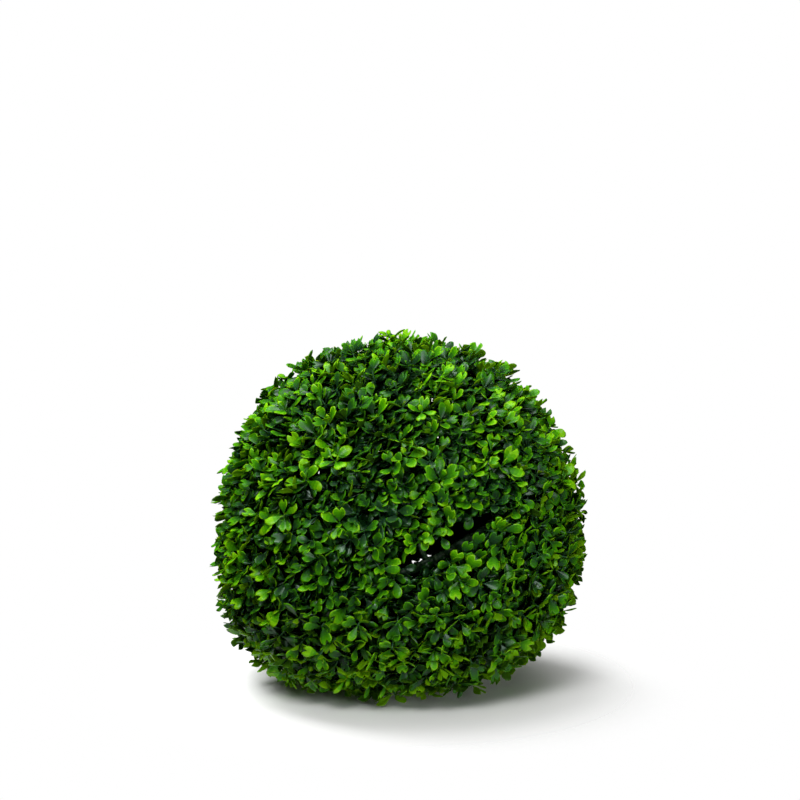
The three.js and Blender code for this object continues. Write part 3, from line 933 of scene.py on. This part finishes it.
def keeps_its_place(outline, stem, roots, axes):
    """For many leaves at once: within the outline, out of the gap and clear of the stem."""
    fine = np.ones(len(roots), dtype=bool)
    for along, across in LEAF_KEY_POINTS:
        points = roots + axes[:, 0] * along + axes[:, 1] * across
        fine &= (outline.excess(points) <= MOST_PROUD) & (points[:, 2] > LEAST_HEIGHT)
        fine &= outline.gap_share(points) > 1
        clear = np.hypot(points[:, 0], points[:, 1]) > stem.foot_radius + stem.flare + STEM_CLEARANCE
        fine &= clear | (points[:, 2] > stem.height + STEM_CLEARANCE)
    return fine


def camera_place(scene):
    """Where the camera stands, which is the end of every line of sight."""
    studio = scene.topiary_studio
    back = Vector((0, -math.cos(studio.elevation), math.sin(studio.elevation)))
    return Vector((0, 0, scene.topiary_outline.waist_height)) + back * studio.distance


# Fine openings right through the ball over the rim at the front, where the pale background shows. Millimetres
# along the seam and over it, where each one passes the rim, and its radius.
SIGHT_LINES = ((-34.6, 6.6, 0.4), (-27.1, 5.4, 0.6), (-17.4, 3.5, 0.5))
SIGHT_PASSES = 4
SIGHT_TOLERANCE = 0.9  # a blade that comes this share of the radius near a line closes it
RIB_STEPS = 9  # points along a blade's rib that are kept clear of the lines
LEAST_SLOPE = 1e-9
HALF_SPAN = 0.5


class Sight:
    """Fine lines of sight through the ball. Blades that cross one are moved just aside."""

    def __init__(self, scene, outline):
        self.start = np.array(camera_place(scene))
        front = outline.seam_middle + outline.gap_out * scene.topiary_gap.rim_radius
        self.lines = []
        for along, over, radius in SIGHT_LINES:
            passed = front + (outline.gap_sideways * along + outline.seam_normal * over) * MM
            self.lines.append((unit(passed - self.start), radius * MM))

    def crossing(self, line, radius, roots, axes):
        """How far each blade must go sideways to clear a line, as a signed share of its width, or 0."""
        spans = np.linalg.norm(axes, axis=2)
        slope = np.sum(axes[:, 2] * line, axis=1)
        slope = np.where(np.abs(slope) < LEAST_SLOPE, LEAST_SLOPE, slope)
        ahead = np.sum((roots - self.start) * axes[:, 2], axis=1) / slope
        met = self.start + line * ahead[:, None] - roots
        lengthwise = np.sum(met * axes[:, 0], axis=1) / spans[:, 0] ** 2
        sideways = np.sum(met * axes[:, 1], axis=1) / spans[:, 1] ** 2
        room = HALF_SPAN + radius / spans[:, 1] - np.abs(sideways)
        inside = np.abs(lengthwise - HALF_SPAN) < HALF_SPAN + radius / spans[:, 0]
        return np.where(inside & (room > 0), -np.copysign(room, sideways), 0.0)

    def cleared(self, roots, axes):
        """The blades' roots once each is moved aside, and which of them are clear of every line then."""
        roots = roots.copy()
        for _ in range(SIGHT_PASSES):
            for line, radius in self.lines:
                aside = self.crossing(line, radius, roots, axes)
                roots += axes[:, 1] * (aside * (1 + LEAST_SLOPE))[:, None]
        clear = np.ones(len(roots), dtype=bool)
        ribs = roots + axes[:, 0] * np.linspace(0, 1, RIB_STEPS)[:, None, None]
        for line, radius in self.lines:
            arms = ribs - self.start
            across = arms - line * (arms @ line)[..., None]
            clear &= np.abs(self.crossing(line, radius * SIGHT_TOLERANCE, roots, axes)) == 0
            clear &= np.linalg.norm(across, axis=-1).min(axis=0) > radius
        return roots, clear


# The leaves round the gap, one by one: kind, tone, and in millimetres from the gap's middle how far along the
# seam, over it and out from the axis the foot and the tip lie.
GAP_LEAVES = (
    ("oval", 0.7, (-2, 19, 168), (-3, 7, 178)),
    ("oval", 0.6, (-1, 25, 169), (6, 19, 176)),
    ("oval", 0.8, (-13, 26, 168), (-24, 17, 177)),
    ("oval", 0.7, (-22, 25, 168), (-37, 21, 176)),
    ("oval", 0.35, (34, 24, 166), (22, 11, 168)),
    ("oval", 0.8, (19, 38, 172), (9, 26, 178)),
    ("oval", 0.6, (-66, 20, 172), (-51, 12, 178)),
    ("oval", 0.0, (-48, 8, 164), (-34, 3, 166)),
    ("heart", 0.8, (-7, -13, 168), (6, 0, 177)),
    ("oval", 0.7, (-4, -11, 168), (-17, -3, 175)),
    ("heart", 0.5, (-6, -27, 168), (-13, -8, 180)),
    ("heart", 0.9, (1, -24, 170), (18, -12, 182)),
    ("heart", 0.6, (8, -8, 165), (19, 1, 174)),
    ("heart", 0.6, (21, -8, 166), (32, 5, 174)),
    ("heart", 0.7, (-39, -29, 172), (-44, -11, 180)),
    ("oval", 0.7, (-36, -23, 168), (-35, -7, 175)),
    ("heart", 0.9, (-11, -23, 172), (-17, -38, 182)),
    ("oval", 0.8, (-1, -24, 172), (-5, -38, 180)),
    ("heart", 0.8, (53, -6, 170), (47, 11, 178)),
    ("oval", 0.7, (52, -4, 172), (68, -10, 180)),
    ("heart", 0.2, (32, -13, 170), (46, -3, 180)),
    ("heart", 0.8, (37, -15, 172), (26, -31, 182)),
    ("heart", 0.4, (17, -18, 166), (28, -10, 174)),
)
GAP_LEAF_STEP = 0.618  # deals out their shapes and tones
GAP_TWIG_SPREAD = 16 * MM  # the foot of a gap leaf's twig lies this far off, away from the gap
GAP_TWIG_DEPTH = 24 * MM


TONES = ("shade", "deep", "dark", "old", "dull", "grown", "bright", "young", "fresh", "pale")
LEAF_MATERIALS = TONES + ("old_under", "young_under", "twig")
TWIG_LOOKS = (0,)
TWIG_SINK = 2 * MM  # twigs start this far inside the frame's bars
# How many steps lighter than its middle each part of a blade is.
# The rim is partly a paler moulded edge and partly painted glow of light through the thin edge.
LIGHTENING = {LOOK_BASE: -2, LOOK_LOW: -1, LOOK_MIDDLE: 0, LOOK_HIGH: 1, LOOK_TIP: 2, LOOK_RIM: 3}
OLDEST_MIDDLE = 2.6  # steps of the tones' ladder for a spray with the tone number 0
YOUNGEST_MIDDLE = 7.4
FIRST_YOUNG = 5
# For the middle tier, inside the ball, this darkening is painted shade; the small bud is lighter.
TIER_DARKENING = {"middle": 2.4, "bud": -0.8}  # steps by which leaves are darker than the top ones
DEPTH_DARKENING = 0.3  # deepest sprays are this much darker than the outermost, partly older, partly painted shade
LEAF_WAVER = 1.6  # steps within which the leaves of a spray differ


def dealt_looks(tier, tone, number):
    """The material of each part of a leaf, dealt by its spray's tone and its tier."""
    # The deep tier is painted shade: its leaves are near black all over.
    if tier == "deep":
        return (TONES.index("shade"),) * (LOOK_UNDER + 1)
    step = OLDEST_MIDDLE + (YOUNGEST_MIDDLE - OLDEST_MIDDLE) * tone + LEAF_WAVER * (number - 0.5)
    middle = round(step - TIER_DARKENING.get(tier, 0.0))
    dealt = [LEAF_MATERIALS.index("twig")] * (LOOK_UNDER + 1)
    for look, lighter in LIGHTENING.items():
        dealt[look] = min(max(middle + lighter, 0), len(TONES) - 1)
    dealt[LOOK_UNDER] = LEAF_MATERIALS.index("old_under" if middle < FIRST_YOUNG else "young_under")
    if middle >= FIRST_YOUNG:
        dealt[LOOK_STALK] = middle
    return tuple(dealt)


def sector_at(direction):
    """Number of the quarter of the ball in which a direction points."""
    return int((math.atan2(direction[1], direction[0]) / (2 * math.pi) + 0.5) * SECTORS) % SECTORS


class Foliage:
    """All leaves of the ball, by half, quarter and tier, and all twigs, by half."""

    def __init__(self, scene):
        self.leaf = scene.topiary_leaf
        self.stem = scene.topiary_stem
        self.outline = Outline(scene)
        self.sprays = Sprays(scene, self.outline)
        self.sight = Sight(scene, self.outline)
        shapes = leaf_shapes(self.leaf.thickness)
        twig = twig_shape()
        self.twigs = {half: Copies(twig) for half in HALF_NAMES}
        self.leaves = {
            (half, sector): {tier: [Copies(shape) for shape in kinds] for tier, kinds in shapes.items()}
            for half in HALF_NAMES
            for sector in range(SECTORS)
        }

    def add_leaf(self, half, sector, tier, pick, root, axes, looks):
        kinds = self.leaves[half, sector][tier]
        kinds[int(pick * len(kinds))].add(root, axes, looks)

    def grow_spray(self, i):
        """The leaves of spray i that keep their places, and its twig."""
        sprays = self.sprays
        sector = sector_at(sprays.direction[i])
        grown = list(sprays.tiers(i))
        roots = np.array([root for _, root, _ in grown])
        axes = np.array([leaf_axes for _, _, leaf_axes in grown])
        fine = keeps_its_place(self.outline, self.stem, roots, axes)
        roots, clear = self.sight.cleared(roots, axes)
        for (tier, _, leaf_axes), root, kept in zip(grown, roots, fine & clear):
            pick = next(sprays.numbers)
            number = next(sprays.numbers)
            if kept:
                looks = dealt_looks(tier, sprays.tone[i], number)
                self.add_leaf(sprays.half[i], sector, tier, pick, root, leaf_axes, looks)
        if fine.any():
            self.grow_twig(i)

    def grow_twig(self, i):
        sprays = self.sprays
        root = sprays.root[i] - sprays.direction[i] * TWIG_SINK
        arm = sprays.top[i] - root
        along = unit(arm)
        side = unit(np.cross(sprays.first[i], along))
        face = np.cross(along, side)
        axes = np.array([arm, side * self.leaf.twig_radius, face * self.leaf.twig_radius])
        roots, clear = self.sight.cleared(root[None, :], axes[None, :, :])
        if clear[0]:
            self.twigs[sprays.half[i]].add(roots[0], axes, TWIG_LOOKS)

    def grow_gap_leaf(self, number, tier, tone, foot, tip):
        """One leaf at the gap's edge, from its foot to its tip, on a twig that comes from beside the gap."""
        outline = self.outline
        leaf = self.leaf
        place = np.column_stack([outline.gap_sideways, outline.seam_normal, outline.gap_out])
        root = outline.seam_middle + place @ np.array(foot) * MM
        along = outline.seam_middle + place @ np.array(tip) * MM - root
        span = np.linalg.norm(along)
        side = unit(np.cross(outline.gap_out, along))
        face = np.cross(along, side) / span
        width = leaf.heart_width if tier == "heart" else leaf.leaf_width
        half = UPPER if foot[1] > 0 else LOWER
        sector = sector_at(outline.gap_out)
        axes = (along, side * span * width, face * span)
        self.add_leaf(half, sector, tier, number, root, axes, dealt_looks(tier, tone, number))
        away = outline.seam_normal * half * GAP_TWIG_SPREAD - outline.gap_out * GAP_TWIG_DEPTH
        thickness = leaf.twig_radius / 2
        across = unit(np.cross(away, side))
        axes = (-away, across * thickness, np.cross(across, unit(away)) * thickness)
        self.twigs[half].add(root + away, axes, TWIG_LOOKS)

    def add_pieces(self):
        materials = [leaf_material(name, self.leaf) for name in LEAF_MATERIALS]
        stalk = materials[LEAF_MATERIALS.index("twig")]
        for half, name in HALF_NAMES.items():
            slot = "foliage_" + name
            node = slot + "_half"
            add_piece(joined_mesh("twigs_" + name, [self.twigs[half]]), [stalk], node)
            for sector in range(SECTORS):
                groups = [copies for kinds in self.leaves[half, sector].values() for copies in kinds]
                mesh = joined_mesh("leaves_" + name + "_" + str(sector + 1), groups)
                add_piece(mesh, materials, node)


class TOPIARY_OT_foliage(bpy.types.Operator):
    """Grow the twigs and leaves of both halves"""

    bl_idname = "topiary.foliage"
    bl_label = "Grow Foliage"

    def execute(self, context):
        foliage = Foliage(context.scene)
        for i in range(context.scene.topiary_leaf.sprays):
            foliage.grow_spray(i)
        for k, row in enumerate(GAP_LEAVES):
            foliage.grow_gap_leaf(k * GAP_LEAF_STEP % 1, *row)
        foliage.add_pieces()
        return {"FINISHED"}


class TOPIARY_OT_stem(bpy.types.Operator):
    """Raise the short stem with its bark"""

    bl_idname = "topiary.stem"
    bl_label = "Raise Stem"
    SIDES = 60
    RINGS = 56
    RING_CROWDING = 1.5  # crowds the rings towards the root flare
    RIDGES_ROUND = 3.2
    RIDGES_ALONG = 22
    FINE_SCALE = 3.1  # how much finer the small ridges are than the large ones
    LARGE_SHARE = 0.7
    FINE_SHARE = 0.3
    CUT_SHARE = 0.9  # how much of the bark's depth is cut in and not raised

    def execute(self, context):
        stem = context.scene.topiary_stem
        bm = bmesh.new()
        levels = [ring / self.RINGS for ring in range(1, self.RINGS + 1)]
        grow_column(bm, self.SIDES, [(stem.height * level**self.RING_CROWDING, 1.0) for level in levels])
        for v in bm.verts:
            bearing = math.atan2(v.co.y, v.co.x)
            radius = stem_radius(stem, v.co.z, bearing) + stem.bark_depth * self.relief(bearing, v.co.z)
            v.co.x = radius * math.cos(bearing) + stem.lean * v.co.z
            v.co.y = radius * math.sin(bearing)
        material = bark_material("bark", stem.bark, stem.furrow)
        add_piece(mesh_from(bm, "stem_bark"), [material], "short_stem")
        return {"FINISHED"}

    def relief(self, bearing, height):
        """Large and small ridges of the bark, as a share of its depth."""
        round_x = math.cos(bearing) * self.RIDGES_ROUND
        round_y = math.sin(bearing) * self.RIDGES_ROUND
        place = Vector((round_x, round_y, height * self.RIDGES_ALONG))
        large = 1 - abs(noise.noise(place)) * 2
        fine = 0.5 + 0.5 * noise.noise(place * self.FINE_SCALE)
        return large * self.LARGE_SHARE + fine * self.FINE_SHARE - self.CUT_SHARE


class TOPIARY_OT_rim(bpy.types.Operator):
    """Mould the lobed seam rim"""

    bl_idname = "topiary.rim"
    bl_label = "Mould Rim"
    LOBE_ROUNDNESS = 0.6  # lower is squarer
    FLATTENING = 0.6  # how much of the narrowing between lobes also shows in the rim's height

    def execute(self, context):
        scene = context.scene
        rim = scene.topiary_rim
        outline = Outline(scene)
        outer = scene.topiary_gap.rim_radius
        inner = outer - rim.width
        half = rim.height / 2
        corners = (
            (inner, -half),
            (outer - rim.chamfer, -half),
            (outer, -half + rim.chamfer),
            (outer, half - rim.chamfer),
            (outer - rim.chamfer, half),
            (inner, half),
        )
        bm = bmesh.new()
        section = [bm.verts.new((radius, 0.0, height)) for radius, height in corners]
        edges = [bm.edges.new((a, b)) for a, b in zip(section, section[1:] + section[:1])]
        spin_round(bm, section + edges, rim.steps)
        for v in bm.verts:
            bearing = math.atan2(v.co.y, v.co.x)
            lobe = abs(math.sin(bearing * rim.lobes / 2)) ** self.LOBE_ROUNDNESS
            pinch = rim.lobe_depth * (1 - lobe)
            radius = math.hypot(v.co.x, v.co.y)
            outside = max((radius - inner) / rim.width, 0.0)
            v.co.z *= 1 - pinch / half * self.FLATTENING
            scale = (radius - pinch * outside) / radius
            v.co.x *= scale
            v.co.y *= scale
        to_seam(bm, outline, rim.sink)
        material = plastic_material("rim_plastic", rim.plastic, rim.dust_and_sheen)
        add_piece(mesh_from(bm, "rim_lobed", smooth=False), [material], "seam_rim")
        return {"FINISHED"}


def to_seam(bm, outline, sink=0.0):
    """Moves what was made round the Z axis to the tilted seam, or a little under it."""
    place = outline.seam_turn.to_4x4()
    place.translation = Vector(outline.seam_middle - outline.seam_normal * sink)
    bmesh.ops.transform(bm, matrix=place, verts=bm.verts)


class TOPIARY_OT_frames(bpy.types.Operator):
    """Build the open frame of each half"""

    bl_idname = "topiary.frames"
    bl_label = "Build Frames"
    SIDES = 6
    ARC_STEPS = 16
    RING_STEPS = 72
    BAR_END = math.radians(82)  # the bars end at this latitude over the rim
    POLE_STEP = 0.6  # from the last ring to the pole, against the step between rings

    def execute(self, context):
        scene = context.scene
        rim = scene.topiary_rim
        outline = Outline(scene)
        ball_radius = scene.topiary_gap.rim_radius - rim.width / 2
        material = plastic_material("frame_plastic", rim.plastic, rim.dust_and_sheen)
        for half, name in HALF_NAMES.items():
            bm = bmesh.new()
            for k in range(rim.meridians):
                turn = rim.first_bearing - math.pi / 2 + 2 * math.pi * k / rim.meridians
                turn += rim.lower_slip * (half == LOWER)
                self.add_bar(bm, rim, ball_radius, half, turn)
            for k in range(1, rim.parallels + 1):
                latitude = half * math.pi / 2 * k / (rim.parallels + self.POLE_STEP)
                self.add_ring(bm, rim, ball_radius, latitude)
            to_seam(bm, outline)
            self.fit(bm, outline, rim, ball_radius)
            add_piece(mesh_from(bm, "frame_" + name), [material], "foliage_" + name + "_half")
        return {"FINISHED"}

    def section(self, bm, rim, matrix):
        made = bmesh.ops.create_circle(bm, radius=rim.bar_radius, segments=self.SIDES, matrix=matrix)["verts"]
        return made + list({edge for v in made for edge in v.link_edges})

    def add_bar(self, bm, rim, ball_radius, half, turn):
        """A bar from the rim almost to the pole of a half."""
        axis = Vector((math.sin(turn), -math.cos(turn), 0.0)) * half
        at_rim = Matrix.Rotation(turn, 4, "Z") @ Matrix.Translation((ball_radius, 0, 0))
        geom = self.section(bm, rim, at_rim)
        start = verts_of(geom)
        steps = self.ARC_STEPS
        made = bmesh.ops.spin(bm, geom=geom, cent=(0, 0, 0), axis=axis, angle=self.BAR_END, steps=steps)
        bmesh.ops.contextual_create(bm, geom=start)
        bmesh.ops.contextual_create(bm, geom=verts_of(made["geom_last"]))

    def add_ring(self, bm, rim, ball_radius, latitude):
        """A ring round a half at a latitude over the rim."""
        place = Matrix.Translation((ball_radius * math.cos(latitude), 0, ball_radius * math.sin(latitude)))
        geom = self.section(bm, rim, place @ Matrix.Rotation(math.pi / 2, 4, "X"))
        spin_round(bm, geom, self.RING_STEPS)

    def fit(self, bm, outline, rim, ball_radius):
        """Moves the bars from a plain sphere to the clipped shape, under the leaves."""
        points = np.array([v.co[:] for v in bm.verts])
        over = np.linalg.norm(points - outline.seam_middle, axis=1) - ball_radius
        directions = unit(points - outline.middle)
        reach = outline.reach(directions, rim.inset, FRAME_FLOOR) + over
        for v, direction, distance in zip(bm.verts, directions, reach):
            v.co = Vector(outline.middle + direction * distance)


class TOPIARY_OT_stage(bpy.types.Operator):
    """Set up the floor, the lights and the camera"""

    bl_idname = "topiary.stage"
    bl_label = "Set Up Studio"
    FLOOR_RADIUS = 1.2
    FLOOR_SIDES = 96
    BOUNCE = (0.9, 1.0, 0.35)  # the light from all round has been among leaves
    WHITE = (1.0, 1.0, 1.0)
    LIGHTS = {
        "key_softbox": {"place": (-0.6, -2.0, 2.05), "size": 1.0, "power": 56.5},
        # It lights through the leaves at the outline and leaves no sheen there.
        "back_softbox": {"place": (-1.3, 1.1, 2.35), "size": 1.6, "power": 106, "sheen": False},
        "top_softbox": {"place": (-0.5, 0.2, 2.7), "size": 1.2, "power": 34},
        "fill_softbox": {"place": (1.75, -2.05, 0.3), "size": 1.4, "power": 42},
    }
    AIM = (0, 0, 0.17)
    MIDDLE_ROW = 521  # where the picture has the ball's middle
    MIDDLE_COLUMN = 399.6
    PICTURE = 800
    SENSOR = 36.0

    def execute(self, context):
        scene = context.scene
        studio = scene.topiary_studio
        self.add_floor(scene, studio)
        self.add_world(scene, studio)
        for name, light in self.LIGHTS.items():
            self.add_light(scene, name, **light)
        self.add_camera(scene, studio)
        scene.view_settings.view_transform = "Standard"
        return {"FINISHED"}

    def add_floor(self, scene, studio):
        bm = bmesh.new()
        bmesh.ops.create_circle(bm, cap_ends=True, radius=self.FLOOR_RADIUS, segments=self.FLOOR_SIDES)
        mesh = mesh_from(bm, "studio_floor", smooth=False)
        mesh.materials.append(floor_material("studio_paper", studio.floor))
        floor = bpy.data.objects.new("studio_floor", mesh)
        scene.collection.objects.link(floor)

    def add_world(self, scene, studio):
        """White where the camera sees past the floor, and a faint even light elsewhere."""
        world = bpy.data.worlds.new("studio_world")
        scene.world = world
        world.use_nodes = True
        tree = world.node_tree
        seen = make_node(tree, "ShaderNodeLightPath", output="Is Camera Ray")
        fill(
            tree.nodes["Background"],
            Color=seen.mixed(opaque(self.BOUNCE), opaque(self.WHITE)),
            Strength=seen * (1 - studio.ambient) + studio.ambient,
        )

    def add_light(self, scene, name, place, size, power, sheen=True):
        light = bpy.data.lights.new(name, "AREA")
        light.shape = "SQUARE"
        light.size = size
        light.energy = power
        lamp = bpy.data.objects.new(name, light)
        scene.collection.objects.link(lamp)
        aim = Vector(self.AIM) - Vector(place)
        lamp.matrix_world = Matrix.Translation(place) @ aim.to_track_quat("-Z", "Y").to_matrix().to_4x4()
        lamp.visible_glossy = sheen

    def add_camera(self, scene, studio):
        """The camera sees the ball's middle where the picture has it, below the frame's own middle."""
        camera = bpy.data.cameras.new("camera")
        camera.lens = studio.lens
        camera.sensor_width = self.SENSOR
        holder = bpy.data.objects.new("camera", camera)
        scene.collection.objects.link(holder)
        pixel = self.SENSOR / studio.lens / self.PICTURE
        below = math.atan((self.MIDDLE_ROW - self.PICTURE / 2) * pixel)
        aside = math.atan((self.MIDDLE_COLUMN - self.PICTURE / 2) * pixel)
        turn = Euler((math.pi / 2 - studio.elevation + below, 0, aside)).to_matrix().to_4x4()
        holder.matrix_world = Matrix.Translation(camera_place(scene)) @ turn
        scene.camera = holder


class TOPIARY_PT_panel(bpy.types.Panel):
    """The steps of the ball, in order"""

    bl_idname = "TOPIARY_PT_panel"
    bl_label = "Box Topiary Ball"
    bl_space_type = "VIEW_3D"
    bl_region_type = "UI"
    bl_category = "Topiary"

    def draw(self, context):
        for operator in OPERATORS:
            self.layout.operator(operator.bl_idname)
        for name, group in SETTINGS.items():
            box = self.layout.box()
            box.label(text=name.replace("topiary_", "").capitalize())
            for prop in group.__annotations__:
                box.prop(getattr(context.scene, name), prop)


OPERATORS = (TOPIARY_OT_stage, TOPIARY_OT_stem, TOPIARY_OT_rim, TOPIARY_OT_frames, TOPIARY_OT_foliage)


def register():
    for group in SETTINGS.values():
        bpy.utils.register_class(group)
    for name, group in SETTINGS.items():
        setattr(bpy.types.Scene, name, bpy.props.PointerProperty(type=group))
    for operator in OPERATORS:
        bpy.utils.register_class(operator)
    bpy.utils.register_class(TOPIARY_PT_panel)


def unregister():
    bpy.utils.unregister_class(TOPIARY_PT_panel)
    for operator in reversed(OPERATORS):
        bpy.utils.unregister_class(operator)
    for name in SETTINGS:
        delattr(bpy.types.Scene, name)
    for group in SETTINGS.values():
        bpy.utils.unregister_class(group)


def main():
    register()
    for operator in OPERATORS:
        area, name = operator.bl_idname.split(".")
        getattr(getattr(bpy.ops, area), name)()


if __name__ == "__main__":
    main()
